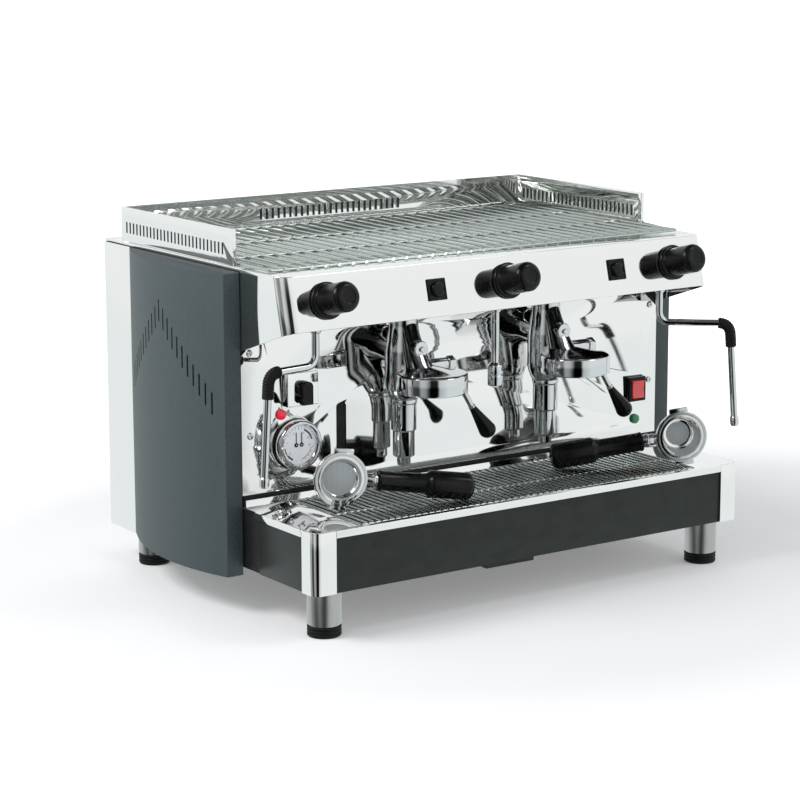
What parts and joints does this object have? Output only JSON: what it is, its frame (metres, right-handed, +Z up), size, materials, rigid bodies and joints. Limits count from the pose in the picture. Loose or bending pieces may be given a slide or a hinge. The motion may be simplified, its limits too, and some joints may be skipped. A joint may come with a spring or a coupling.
{
  "type": "commercial espresso machine",
  "caption": "Two-group countertop espresso machine with steam wands, hot-water spout, dual gauge, brew levers, cup rail, drip tray and loose portafilters.",
  "frame": {"origin": "middle of the outline at the level that the feet stand on", "axes": "+X to the right seen from the front, +Y towards the back, +Z up"},
  "size_m": [0.7778, 0.538, 0.499],
  "materials": {
    "polished_steel": "mirror-polished stainless steel",
    "panel_paint": "textured dark grey-green paint",
    "apron_paint": "satin charcoal paint",
    "frame_paint": "black painted steel",
    "brushed_steel": "brushed stainless steel",
    "grid_wire": "bright wire",
    "chrome": "chrome plate",
    "black_plastic": "glossy black plastic",
    "rubber": "black rubber",
    "copper": "bare copper",
    "dial_white": "white dial",
    "clear_glass": "clear",
    "red_lens": "red lens",
    "green_lens": "green lens",
    "rocker_red": "red rocker"
  },
  "bodies": {
    "machine": {"splash_panel": "polished_steel", "hood": "polished_steel", "tray_surround": "polished_steel", "corner_post_left": "polished_steel", "corner_post_right": "polished_steel", "rear_cover": "polished_steel", "top_deck": "polished_steel", "cup_rail": "polished_steel", "side_panel_left": "panel_paint", "side_panel_right": "panel_paint", "base_apron": "apron_paint", "chassis": "frame_paint", "pump_motor": "frame_paint", "drip_basin": "brushed_steel", "group_body_left": "chrome", "group_body_right": "chrome", "group_chamber_left": "chrome", "group_chamber_right": "chrome", "water_spout": "chrome", "selector_plate": "chrome", "steam_valve_left": "black_plastic", "steam_valve_right": "black_plastic", "water_valve": "black_plastic", "button_bezel_left": "black_plastic", "button_bezel_right": "black_plastic", "gauge_case": "black_plastic", "rocker_frame": "black_plastic", "foot_front_left": "rubber", "foot_front_right": "rubber", "foot_rear_left": "rubber", "foot_rear_right": "rubber", "boiler": "copper", "gauge_dial": "dial_white", "gauge_glass": "clear_glass", "sight_glass": "clear_glass", "lamp_red": "red_lens", "lamp_green": "green_lens"},
    "knob_left": {"knob_left": "black_plastic"},
    "knob_centre": {"knob_centre": "black_plastic"},
    "knob_right": {"knob_right": "black_plastic"},
    "steam_wand_left": {"wand_left": "chrome", "wand_grip_left": "rubber"},
    "steam_wand_right": {"wand_right": "chrome", "wand_grip_right": "rubber"},
    "brew_lever_left": {"lever_left": "chrome", "lever_grip_left": "black_plastic"},
    "brew_lever_right": {"lever_right": "chrome", "lever_grip_right": "black_plastic"},
    "selector": {"selector_knob": "black_plastic"},
    "rocker_switch": {"rocker": "rocker_red"},
    "push_button_left": {"button_left": "black_plastic"},
    "push_button_right": {"button_right": "black_plastic"},
    "boiler_needle": {"needle_boiler": "black_plastic"},
    "pump_needle": {"needle_pump": "black_plastic"},
    "cup_tray": {"cup_grid": "grid_wire"},
    "drip_tray": {"drip_grid": "grid_wire"},
    "portafilter_left_set": {"portafilter_left": "chrome", "portafilter_handle_left": "black_plastic"},
    "portafilter_right_set": {"portafilter_right": "chrome", "portafilter_handle_right": "black_plastic"}
  },
  "joints": [
    {"name": "knob_left_turn", "type": "hinge", "parent": "machine", "child": "knob_left", "pos_m": [-0.283, -0.19725, 0.419], "axis": [0, -0.9701, 0.2425], "range_deg": [0, 450]},
    {"name": "knob_centre_turn", "type": "hinge", "parent": "machine", "child": "knob_centre", "pos_m": [0, -0.19725, 0.419], "axis": [0, -0.9701, 0.2425], "range_deg": [0, 450]},
    {"name": "knob_right_turn", "type": "hinge", "parent": "machine", "child": "knob_right", "pos_m": [0.283, -0.19725, 0.419], "axis": [0, -0.9701, 0.2425], "range_deg": [0, 450]},
    {"name": "steam_wand_left_swing", "type": "hinge", "parent": "machine", "child": "steam_wand_left", "pos_m": [-0.283, -0.172, 0.387], "axis": [0, 0, 1], "range_deg": [-50, 35]},
    {"name": "steam_wand_right_swing", "type": "hinge", "parent": "machine", "child": "steam_wand_right", "pos_m": [0.283, -0.172, 0.387], "axis": [0, 0, 1], "range_deg": [-25, 70]},
    {"name": "brew_lever_left_lift", "type": "hinge", "parent": "machine", "child": "brew_lever_left", "pos_m": [-0.0677, -0.155, 0.31], "axis": [-1, 0, 0], "range_deg": [0, 55]},
    {"name": "brew_lever_right_lift", "type": "hinge", "parent": "machine", "child": "brew_lever_right", "pos_m": [0.1683, -0.155, 0.31], "axis": [-1, 0, 0], "range_deg": [0, 55]},
    {"name": "selector_turn", "type": "hinge", "parent": "machine", "child": "selector", "pos_m": [-0.261, -0.1073, 0.29], "axis": [0, -1, 0], "range_deg": [-90, 90]},
    {"name": "rocker_tip", "type": "hinge", "parent": "machine", "child": "rocker_switch", "pos_m": [0.308, -0.0993, 0.2235], "axis": [1, 0, 0], "range_deg": [-7, 7]},
    {"name": "push_button_left_press", "type": "slide", "parent": "machine", "child": "push_button_left", "axis": [0, 0.9701, -0.2425], "range_m": [0, 0.003], "stiffness_N_per_m": 300, "springref_m": -0.001},
    {"name": "push_button_right_press", "type": "slide", "parent": "machine", "child": "push_button_right", "axis": [0, 0.9701, -0.2425], "range_m": [0, 0.003], "stiffness_N_per_m": 300, "springref_m": -0.001},
    {"name": "boiler_needle_turn", "type": "hinge", "parent": "machine", "child": "boiler_needle", "pos_m": [-0.26785, -0.1001, 0.2155], "axis": [0, -1, 0], "range_deg": [-60, 60], "stiffness_Nm_per_rad": 0.0005},
    {"name": "pump_needle_turn", "type": "hinge", "parent": "machine", "child": "pump_needle", "pos_m": [-0.26015, -0.101, 0.2155], "axis": [0, -1, 0], "range_deg": [-60, 60], "stiffness_Nm_per_rad": 0.0005},
    {"name": "cup_tray_lift", "type": "slide", "parent": "machine", "child": "cup_tray", "axis": [0, 0, 1], "range_m": [0, 0.025]},
    {"name": "drip_tray_lift", "type": "slide", "parent": "machine", "child": "drip_tray", "axis": [0, 0, 1], "range_m": [0, 0.025]},
    {"name": "portafilter_left_lift", "type": "slide", "parent": "drip_tray", "child": "portafilter_left_set", "axis": [0, -0.8, 0.6], "range_m": [0, 0.05]},
    {"name": "portafilter_right_lift", "type": "slide", "parent": "drip_tray", "child": "portafilter_right_set", "axis": [0, -0.8, 0.6], "range_m": [0, 0.05]}
  ]
}
